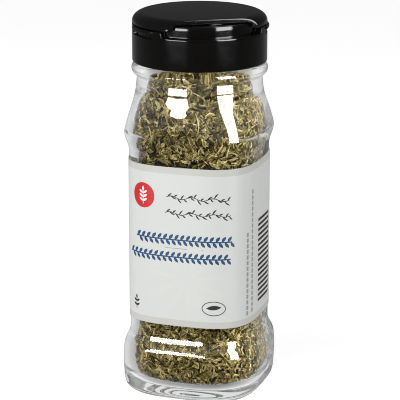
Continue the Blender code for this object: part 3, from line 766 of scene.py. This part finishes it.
def line(path, width, columns=1):
    """A line of the given width: its edges are half a width to either side of the path."""
    path = np.asarray(path, float)
    go = np.gradient(path, axis=0)
    go /= np.maximum(np.linalg.norm(go, axis=-1, keepdims=True), 1e-9)
    side = np.stack([-go[:, 1], go[:, 0]], -1) * np.asarray(width, float).reshape(-1, 1) / 2
    return path + side, path - side, columns


def leaf(base, degrees, length, width, bend=0.0):
    """A pointed leaf: its half-width is a sine to the power 0.8 along a middle line that bends
    as the square of the way along."""
    t = np.linspace(0, 1, 9)
    a = math.radians(degrees)
    go, side = np.array([math.cos(a), math.sin(a)]), np.array([-math.sin(a), math.cos(a)])
    middle = np.asarray(base) + length * (t[:, None] * go + bend * t[:, None] ** 2 * side)
    half = width / 2 * np.sin(math.pi * t)[:, None] ** 0.8
    return middle + half * side, middle - half * side, 2


def block(s_low, s_high, z_low, z_high, columns=4):
    """An upright rectangle of ink."""
    z = np.array([z_low, z_high])
    return np.stack([0 * z + s_low, z], -1), np.stack([0 * z + s_high, z], -1), columns


def disc(centre, radius):
    """A round of ink, as chords from its bottom to its top."""
    t = np.linspace(-math.pi / 2, math.pi / 2, 33)
    half, z = radius * np.cos(t), centre[1] + radius * np.sin(t)
    return np.stack([centre[0] - half, z], -1), np.stack([centre[0] + half, z], -1), 8


def garland(s_low, s_high, z, step, size):
    """A level row of leaf pairs on a thin stem."""
    s = np.linspace(s_low, s_high, 40)
    made = [line(np.stack([s, 0 * s + z], -1), 0.45)]
    for place in np.arange(s_low + 0.5, s_high - 0.8, step):
        made.append(leaf((place, z), 62, size, 0.46 * size, -0.12))
        made.append(leaf((place + step / 2, z), -62, size, 0.46 * size, 0.12))
    return made


def vine(s_low, s_high, z, height, waves):
    """A thin wandering sine line with slim leaves to either side in turn."""
    t = np.linspace(0, 1, 26 * waves)
    path = np.stack([s_low + (s_high - s_low) * t, z + height * np.sin(TURN * waves * t)], -1)
    made = [line(path, 0.2 + 0.1 * np.sin(math.pi * waves * 2 * t) ** 2)]
    count = int((s_high - s_low) / 1.15)
    for k in range(count):
        share = (k + 0.5) / count
        base = (s_low + (s_high - s_low) * share, z + height * math.sin(TURN * waves * share))
        side = 1 if k % 2 == 0 else -1
        lean, length = side * (52 + 14 * math.sin(5.0 * k)), 1.9 + 0.5 * math.sin(2.3 * k)
        made.append(leaf(base, lean, length, 0.5, -0.2 * side))
    return made


def sprig(base, height, pairs, size):
    """An upright stem with pairs of leaves and one at its tip."""
    s, z = base
    made = [line([(s, z), (s, z + height / 2), (s, z + height)], 0.28)]
    for k in range(pairs):
        at = z + height * (k + 0.7) / (pairs + 0.4)
        made += [leaf((s, at), 35, size, 0.42 * size), leaf((s, at), 145, size, 0.42 * size)]
    return made + [leaf((s, z + height * 0.95), 90, size, 0.42 * size)]


class LabelSettings(PropertyGroup):
    white: colour_setting(
        "Label white", "Colour of the label's printed middle", (0.70, 0.715, 0.695))
    margin_colour: colour_setting(
        "Margin colour", "Colour of the label's top and bottom margins", (0.60, 0.595, 0.56))
    margin: FloatProperty(
        name="Margin", description="Height of the top and bottom margins", default=0.0023,
        unit="LENGTH", min=0, max=0.01)


class SPICEJAR_OT_label(Operator):
    """Wraps the label round the panel, open along a narrow strip of the back"""
    bl_idname = "spice_jar.label"
    bl_label = "Label"

    def execute(self, context):
        angles = np.radians(np.linspace(LABEL_START, LABEL_END, 241))
        inner, outer, edge = LABEL_HALF - LABEL_THICKNESS, LABEL_HALF, 0.05
        ring = np.array([
            (LABEL_BOTTOM, inner), (LABEL_BOTTOM, outer - edge), (LABEL_BOTTOM + edge, outer),
            (LABEL_TOP - edge, outer), (LABEL_TOP, outer - edge), (LABEL_TOP, inner)])
        stations = np.concatenate([ring, np.full((len(ring), 1), LABEL_SQUARE)], -1)
        points = section_rows(stations, angles)
        rows, columns = points.shape[:2]
        faces = [grid_faces(rows, columns, close_rows=True, close_columns=False)]
        end = np.arange(rows)[None] * columns
        faces += [end, end[:, ::-1] + columns - 1]
        mesh = fill_mesh("label_sheet", points.reshape(-1, 3), faces)
        close_and_turn_out(mesh)
        add_piece("label_sheet", mesh, label_film(context.scene.spice_jar_label), "jar",
                  ["label_wrap"], sharp=40)
        return {"FINISHED"}


class PrintSettings(PropertyGroup):
    red: colour_setting("Red", "Colour of the round seal", (0.62, 0.012, 0.018))
    blue: colour_setting("Blue", "Colour of the two garlands", (0.010, 0.075, 0.19))
    dark: colour_setting("Dark", "Colour of the fine lines", (0.03, 0.03, 0.032))
    grey: colour_setting("Grey", "Colour of the rules", (0.33, 0.34, 0.34))


class SPICEJAR_OT_prints(Operator):
    """Prints a plain decoration on the label: a seal with a sprig, vines, garlands and rules"""
    bl_idname = "spice_jar.prints"
    bl_label = "Label printing"

    def execute(self, context):
        settings = context.scene.spice_jar_prints
        ink_piece("print_seal", [disc(SEAL, SEAL_RADIUS)], printing_ink("red_ink", settings.red))
        ink_piece("print_seal_sprig", sprig(SEAL_SPRIG, 4.6, 3, 1.9),
                  printing_ink("white_ink", (0.82, 0.80, 0.78)), lift=0.05)
        ink_piece("print_garlands", garland(-16.3, 18.5, 58.1, 2.05, 2.35)
                  + garland(-19.6, 18.0, 52.0, 2.05, 2.25), printing_ink("blue_ink", settings.blue))
        t = np.linspace(0, TURN, 97)
        ring = np.stack([OVAL[0] + OVAL_WIDE * np.cos(t), OVAL[1] + OVAL_HIGH * np.sin(t)], -1)
        dark = (vine(-4.5, 17.5, 72.9, 0.5, 3) + vine(-5.0, 18.0, 67.4, 0.45, 3)
                + sprig((-16.6, 31.6), 3.6, 2, 1.7) + [line(ring, 0.26)]
                + [leaf((9.6, 34.6), 8, 5.2, 1.6, -0.05)])
        ink_piece("print_vines", dark, printing_ink("dark_ink", settings.dark))
        rule = [line([(-5.0, 55.1), (2.0, 55.1), (8.5, 55.1)], 0.2)]
        dashes = [block(25.0, 26.1, z, z + 1.5, 2) for z in np.arange(30.5, 59.0, 2.0)]
        dashes += [block(28.2, 29.3, z, z + 1.5, 2) for z in np.arange(31.0, 74.0, 2.0)]
        ink_piece("print_rules", rule + dashes, printing_ink("grey_ink", settings.grey))
        stripes = [block(34.2, 47.0, z, z + 0.9, 12) for z in np.arange(33.0, 62.0, 1.8)]
        ink_piece("print_stripes", stripes, printing_ink("black_ink", (0.02, 0.02, 0.02)))
        return {"FINISHED"}


# Cap

def cap_columns(count):
    """Angles round the cap, and each one's distance in degrees from the cap's front."""
    turned = 360 * np.arange(count) / count
    return np.radians(turned) + FRONT, np.minimum(turned, 360 - turned)


def body_corners(turned):
    """Corners of the cap body's section at each angle from the front: the rim is lower across
    the front, and a slot with a rib over it runs along either side. Both come and go with the
    cubic ease over about a degree."""
    recess = 1 - ease(turned, RECESS_ANGLE - 0.7, RECESS_ANGLE + 0.7)
    slot = ease(turned, SLOT_FROM - 0.6, SLOT_FROM + 0.6) - ease(turned, SLOT_TO - 0.6, SLOT_TO + 0.6)
    top = RIM_TOP + (LEDGE - RIM_TOP) * recess
    squeeze = (top - SLOT_BOTTOM) / (RIM_TOP - SLOT_BOTTOM)

    def height(value):
        return SLOT_BOTTOM + (value - SLOT_BOTTOM) * squeeze

    groove, rib = CAP_RADIUS - SLOT_DEPTH * slot, CAP_RADIUS + RIB_PROUD * slot
    rib_top = RIB_TOP - RIB_LOWERED * recess
    corners = [
        (CAP_BORE, 0), (CAP_RADIUS, 0), (CAP_RADIUS, 1.6), (CAP_RADIUS, SLOT_BOTTOM),
        (groove, height(SLOT_BOTTOM + 0.1)), (groove, height(SLOT_TOP - 0.1)), (rib, height(SLOT_TOP)),
        (rib, height(rib_top)), (CAP_RADIUS, top), (PLATFORM_RADIUS, top), (PLATFORM_RADIUS, top + 0.3),
        (PLATFORM_RADIUS, PLATFORM_WALL - 0.55), (PLATFORM_RADIUS, PLATFORM_WALL),
        (PLATFORM_RADIUS - 0.1, PLATFORM_TOP), (WELL_RADIUS, PLATFORM_TOP), (WELL_RADIUS, DECK_BOTTOM),
        (19.6, DECK_BOTTOM), (20.0, 9.7), (CAP_BORE, 8.6),
    ]
    return np.stack([np.stack(np.broadcast_arrays(*pair, turned)[:2], -1) for pair in corners], 1)


BODY_CUTS = [
    0.3, 0.3, 0.5, 0.12, 0.12, 0.15, 0.2, 0.2, 0.32, 0.06, 0.02, 0.02, 0.5, 0.25, 0.35, 0.1, 0.2, 0.2, 0.4,
]


def sifter_deck():
    """The deck as one closed plate: a flat net between its rim and its holes, at two heights,
    with walls between. Returns points and triangles."""
    circles = [(0.0, 0.0, WELL_RADIUS + 0.1, 120), (0.0, 0.0, HOLE_RADIUS, 40)]
    circles += [(HOLE_CIRCLE * math.cos(a), HOLE_CIRCLE * math.sin(a), HOLE_RADIUS, 40)
                for a in TURN * np.arange(6) / 6]
    points, edges, count = [], [], 0
    for x, y, radius, steps in circles:
        t = TURN * np.arange(steps) / steps
        points += [Vector(pair) for pair in np.stack([x + radius * np.cos(t), y + radius * np.sin(t)], -1)]
        k = np.arange(steps)
        edges += (np.stack([k, (k + 1) % steps], -1) + count).tolist()
        count += steps
    found = geometry.delaunay_2d_cdt(points, edges, [], 0, 1e-6)
    flat, faces = np.array([tuple(p) for p in found[0]]), np.array(found[2])
    middle = flat[faces].mean(1)
    clear = np.linalg.norm(middle, axis=-1) < WELL_RADIUS + 0.2
    for x, y, radius, _ in circles[1:]:
        clear &= np.linalg.norm(middle - (x, y), axis=-1) > radius - 0.05
    faces, edges = faces[clear], np.array(edges)
    low = np.column_stack([flat, np.full(len(flat), DECK_BOTTOM + 0.05)])
    high = np.column_stack([flat, np.full(len(flat), DECK_TOP)])
    walls = np.column_stack([edges, edges[:, ::-1] + len(flat)])
    return np.vstack([low, high]), [faces[:, ::-1], faces + len(flat), walls]


class CapSettings(PropertyGroup):
    body_black: colour_setting(
        "Cap black", "Colour of the cap's lower half", (0.0045, 0.0042, 0.0040))
    flap_black: colour_setting("Flap black", "Colour of the flap", (0.0050, 0.0047, 0.0048))
    gloss: FloatProperty(
        name="Roughness", description="Roughness of the plastic", default=0.085, min=0.05, max=1)
    columns: IntProperty(
        name="Columns", description="Points round the cap", default=540, min=60, max=720)


class SPICEJAR_OT_cap_body(Operator):
    """Builds the screw cap's lower half, its sifter deck and its hinge ears"""
    bl_idname = "spice_jar.cap_body"
    bl_label = "Cap body"

    def execute(self, context):
        settings = context.scene.spice_jar_cap
        plastic = moulded_black("cap_black", settings.body_black, settings.gloss)
        angles, turned = cap_columns(settings.columns)
        rows = turned_rows(rounded_path(body_corners(turned), BODY_CUTS), angles)
        rows = clear_hinge(rows, 0, EAR_FROM, KNUCKLE + KNUCKLE_CLEARANCE)
        ear = rounded_path(np.array([
            (EAR_FROM, EAR_BORE), (EAR_FROM, KNUCKLE), (EAR_TO, KNUCKLE), (EAR_TO, EAR_BORE)]), [0.2] * 4)
        grids = [(on_cap(rows), True)]
        grids += [(on_cap(hinge_rows(ear * (side, 1), 64)), True) for side in (-1, 1)]
        grid_piece("cap_shell", grids, plastic, "cap", ["cap_body"], sharp=50)
        points, faces = sifter_deck()
        mesh = fill_mesh("sifter_deck", on_cap(points), faces)
        close_and_turn_out(mesh)
        add_piece("sifter_deck", mesh, plastic, "cap", sharp=40)
        return {"FINISHED"}


def dome_point(path):
    """The flap's dome at a distance along its outline from the middle: a parabola as far as the
    rounded edge, which is a quarter of an ellipse. Returns radius and height."""
    inner = CAP_RADIUS - FLAP_ROUND
    t = np.clip(path - inner, 0, None) / FLAP_ROUND
    radius = np.minimum(path, inner) + FLAP_ROUND * np.sin(t)
    height = FLAP_TOP - FLAP_CROWN * (np.minimum(path, inner) / inner) ** 2 - FLAP_DROP * (1 - np.cos(t))
    return np.stack([radius, height], -1)


def flap_rows(turned, angles):
    """The flap: its dome as far as the edge or the upright front, a small round there, a wall,
    and an underside that is low under the wall and high within it."""
    inner = CAP_RADIUS - FLAP_ROUND
    reach = np.minimum(FLAP_FRONT / np.maximum(np.cos(np.radians(turned)), 0.2), CAP_RADIUS)
    bend = FLAP_ROUND * np.arcsin(np.clip((reach - inner) / FLAP_ROUND, 0, 1))
    whole = np.minimum(reach, inner) + bend
    path = (1 - (1 - np.linspace(0, 1, 30)) ** 1.7)[:, None] * (whole - 0.35)
    corner = dome_point(whole)
    below = np.array([0.0, 0.12, 0.3])[:, None]
    under_r = np.vstack([reach - below, np.minimum(reach - 0.4, np.array(UNDER_ROWS)[:, None])])
    under_z = np.interp(under_r, UNDER_RADII, UNDER_HEIGHTS)
    under_z[0] += 0.25
    under_z[1] += 0.07
    drop = np.clip(0.5 * (corner[:, 1] - under_z[0] - 0.05), 0.02, 0.35)
    foot = np.stack([reach, corner[:, 1] - drop], -1)
    v = (np.arange(1, 7) / 6)[:, None, None]
    fillet = (1 - v) ** 2 * dome_point(whole - 0.35) + 2 * v * (1 - v) * corner + v ** 2 * foot
    w = (np.arange(1, 6) / 6)[:, None]
    wall_z = foot[:, 1] + (under_z[0] - foot[:, 1]) * w
    outer = np.vstack([dome_point(path), fillet])
    r = np.vstack([outer[..., 0], reach + 0 * wall_z, under_r])
    z = np.vstack([outer[..., 1], wall_z, under_z])
    return around(r, angles, z)


class SPICEJAR_OT_flap(Operator):
    """Builds the flap with its straight front edge, hinge barrel, plug ring and pegs"""
    bl_idname = "spice_jar.flap"
    bl_label = "Flap"

    def execute(self, context):
        settings = context.scene.spice_jar_cap
        plastic = moulded_black("flap_black", settings.flap_black, settings.gloss)
        angles, turned = cap_columns(settings.columns)
        rows = clear_hinge(flap_rows(turned, angles), 4.0, 6.9, KNUCKLE + KNUCKLE_CLEARANCE)
        grid_piece("flap_lid", [(on_cap(rows), False)], plastic, "flap",
                   ["cap_flap"], sharp=50)
        barrel = rounded_path(np.array(BARREL), [0, 0.2, 0, 0.3, 0.3, 0, 0.2, 0])
        plug = turned_rows(rounded_path(np.array(PLUG), [0, 0.3, 0.3, 0]), TURN * np.arange(180) / 180)
        grids = [(on_cap(hinge_rows(barrel, 64)), False), (on_cap(plug), True)]
        peg = rounded_path(np.array(PEG), [0, 0.6, 0, 0])
        stub = turned_rows(peg, TURN * np.arange(48) / 48)
        for k in range(-1, 6):
            reach = 0 if k < 0 else HOLE_CIRCLE
            place = np.array([reach * math.cos(TURN * k / 6), reach * math.sin(TURN * k / 6), 0])
            grids.append((on_cap(stub + place), False))
        grid_piece("flap_hinge_and_plug", grids, plastic, "flap", sharp=40)
        return {"FINISHED"}


class SPICEJAR_OT_liner(Operator):
    """Gives the sealing liner its board finish"""
    bl_idname = "spice_jar.liner"
    bl_label = "Liner"

    def execute(self, context):
        board = liner_board()
        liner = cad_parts["seal_liner"]
        liner.data.materials.clear()
        liner.data.materials.append(board)
        return {"FINISHED"}


# Studio: places in metres from the middle of the foot, and the camera's azimuth in degrees

CAMERA_PLACE, CAMERA_TARGET, CAMERA_AZIMUTH = (0.2172, -0.6603, 0.2584), (0.0001, 0, 0.06628), 18.2
SENSOR_WIDTH, LIGHT_BOUNCES = 36, 96
# What reflections and views through the glass find round them, as parts of full brightness: the
# floor by how far it is straight behind the jar (0 in front, 1 behind), the room above it through
# the glass, both in plain reflections, and everything after a first bounce off a matt surface
FLOOR_LEVELS = [(0.0, 0.07), (0.35, 0.12), (0.6, 0.38), (0.8, 0.58), (0.9, 0.85), (1.0, 1.0)]
STRAIGHT_BEHIND, HORIZON = (-0.312, 0.95, 0.0), (-0.04, 0.0)
ABOVE_THROUGH_GLASS, ABOVE_MIRRORED, FLOOR_MIRRORED, AFTER_BOUNCE = 0.8, 0.12, 0.25, 0.34


class StudioSettings(PropertyGroup):
    lens: FloatProperty(
        name="Lens", description="Focal length of the camera, in millimetres", default=187.07, min=20)
    key: FloatProperty(
        name="Key light", description="Brightness of the soft lamps that light the jar",
        default=1.9, min=0)
    windows: FloatProperty(
        name="Softbox glow", description="Brightness of the two softboxes that show as reflections",
        default=22.0, min=0)
    sky: FloatProperty(
        name="Room light", description="Brightness of the even light all round", default=0.62, min=0)


def aim(thing, place, target):
    thing.location = place
    thing.rotation_euler = (Vector(target) - Vector(place)).to_track_quat("-Z", "Y").to_euler()


def softbox(name, azimuth, distance, low, high, width, glow, glossy_only=False):
    """An upright rectangular lamp that faces the jar, from an azimuth in degrees from the front
    towards +X, with a power of its glow times pi times its area. A glossy one is meant for
    reflections only, and no lamp is seen itself."""
    data = bpy.data.lights.new(name, "AREA")
    data.shape, data.size, data.size_y = "RECTANGLE", width, high - low
    data.energy = glow * math.pi * width * (high - low)
    lamp = bpy.data.objects.new(name, data)
    bpy.context.scene.collection.objects.link(lamp)
    a = math.radians(azimuth)
    middle = (low + high) / 2
    aim(lamp, (distance * math.sin(a), -distance * math.cos(a), middle), (0, 0, middle))
    lamp.visible_camera = lamp.visible_transmission = False
    lamp.visible_diffuse, lamp.visible_glossy = not glossy_only, glossy_only


class SPICEJAR_OT_studio(Operator):
    """Sets up the pale floor, the soft lamps, the room light and the camera"""
    bl_idname = "spice_jar.studio"
    bl_label = "Studio"

    def execute(self, context):
        settings = context.scene.spice_jar_studio
        scene = context.scene
        material, tree, surface = new_material("studio_floor")
        fill_inputs(tree, surface, {
            "Base Color": (0.93, 0.93, 0.93, 1), "Roughness": 1.0, "Specular IOR Level": 0.0,
            "Emission Color": (1, 1, 1, 1), "Emission Strength": 0.35})
        reach, z = 4000, -0.1
        corners = np.array([(-reach, -reach, z), (reach, -reach, z), (reach, reach, z), (-reach, reach, z)])
        mesh = fill_mesh("studio_floor", corners, [np.array([[0, 1, 2, 3]])])
        mesh.materials.append(material)
        floor = bpy.data.objects.new("studio_floor", mesh)
        scene.collection.objects.link(floor)
        floor.visible_glossy = floor.visible_transmission = False

        world = bpy.data.worlds.new("studio")
        scene.world = world
        world.use_nodes = True
        world.cycles.sampling_method = "NONE"
        sky = world.node_tree
        path = add_node(sky, "ShaderNodeLightPath").outputs
        mirrored = math_node(sky, "SUBTRACT", path["Is Glossy Ray"], path["Is Transmission Ray"])
        way = add_node(sky, "ShaderNodeTexCoord").outputs["Generated"]
        behind = add_node(
            sky, "ShaderNodeVectorMath", {0: way, 1: STRAIGHT_BEHIND}, operation="DOT_PRODUCT")
        up = add_node(sky, "ShaderNodeSeparateXYZ", {"Vector": way}).outputs["Z"]
        low = add_range(sky, up, *HORIZON, 1, 0)
        floor_level = add_ramp(sky, add_range(sky, behind.outputs["Value"], -1, 1, 0, 1), [
            (place, (grey, grey, grey)) for place, grey in FLOOR_LEVELS])
        above = add_range(sky, mirrored, 0, 1, ABOVE_THROUGH_GLASS, settings.sky * ABOVE_MIRRORED)
        below = product(sky, floor_level, add_range(sky, mirrored, 0, 1, 1.0, FLOOR_MIRRORED))
        seen = share_of(sky, low, below, above)
        bounced = math_node(sky, "MINIMUM", path["Diffuse Depth"], 1.0)
        seen = share_of(sky, bounced, AFTER_BOUNCE, seen)
        level = share_of(sky, path["Is Glossy Ray"], seen, settings.sky)
        fill_inputs(sky, sky.nodes["Background"], {"Color": (1, 1, 1, 1), "Strength": level})

        softbox("key_lamp", azimuth=-30, distance=1.1, low=0.25, high=1.15, width=0.9, glow=settings.key)
        softbox("top_lamp", azimuth=200, distance=0.7, low=0.9, high=1.5, width=0.9, glow=settings.key)
        windows = {"distance": 0.6, "low": 0.040, "glow": settings.windows, "glossy_only": True}
        softbox("left_window", azimuth=CAMERA_AZIMUTH - 40, high=0.146, width=0.37, **windows)
        softbox("right_window", azimuth=CAMERA_AZIMUTH + 46, high=0.66, width=0.33, **windows)

        camera = bpy.data.objects.new("camera", bpy.data.cameras.new("camera"))
        scene.collection.objects.link(camera)
        camera.data.lens, camera.data.sensor_width = settings.lens, SENSOR_WIDTH
        camera.data.clip_start, camera.data.clip_end = 0.01, 20
        aim(camera, CAMERA_PLACE, CAMERA_TARGET)
        scene.camera = camera
        scene.cycles.filter_width = 1.0
        scene.cycles.max_bounces = LIGHT_BOUNCES
        scene.cycles.glossy_bounces = LIGHT_BOUNCES
        scene.cycles.transmission_bounces = LIGHT_BOUNCES
        scene.view_settings.view_transform = "Standard"
        scene.view_settings.look = "None"
        return {"FINISHED"}


SETTINGS = {
    "spice_jar_glass": GlassSettings, "spice_jar_fill": FillSettings, "spice_jar_label": LabelSettings,
    "spice_jar_prints": PrintSettings, "spice_jar_cap": CapSettings, "spice_jar_studio": StudioSettings,
}
OPERATORS = [
    SPICEJAR_OT_glass, SPICEJAR_OT_fill, SPICEJAR_OT_label, SPICEJAR_OT_prints, SPICEJAR_OT_liner,
    SPICEJAR_OT_cap_body, SPICEJAR_OT_flap, SPICEJAR_OT_studio,
]


class SPICEJAR_PT_panel(Panel):
    """Lists the jar's pieces and their settings"""
    bl_label = "Spice jar"
    bl_idname = "SPICEJAR_PT_panel"
    bl_space_type = "VIEW_3D"
    bl_region_type = "UI"
    bl_category = "Spice jar"

    def draw(self, context):
        for operator in OPERATORS:
            self.layout.operator(operator.bl_idname)
        for name, group in SETTINGS.items():
            box = self.layout.box()
            for prop in group.__annotations__:
                box.prop(getattr(context.scene, name), prop)


def register():
    for cls in [*SETTINGS.values(), *OPERATORS, SPICEJAR_PT_panel]:
        bpy.utils.register_class(cls)
    for name, group in SETTINGS.items():
        setattr(bpy.types.Scene, name, PointerProperty(type=group))


def unregister():
    for name in SETTINGS:
        delattr(bpy.types.Scene, name)
    for cls in reversed([*SETTINGS.values(), *OPERATORS, SPICEJAR_PT_panel]):
        bpy.utils.unregister_class(cls)


def main():
    register()
    steps = bpy.ops.spice_jar
    for step in (steps.glass, steps.fill, steps.label, steps.prints, steps.liner, steps.cap_body,
                 steps.flap, steps.studio):
        step()


if __name__ == "__main__":
    main()
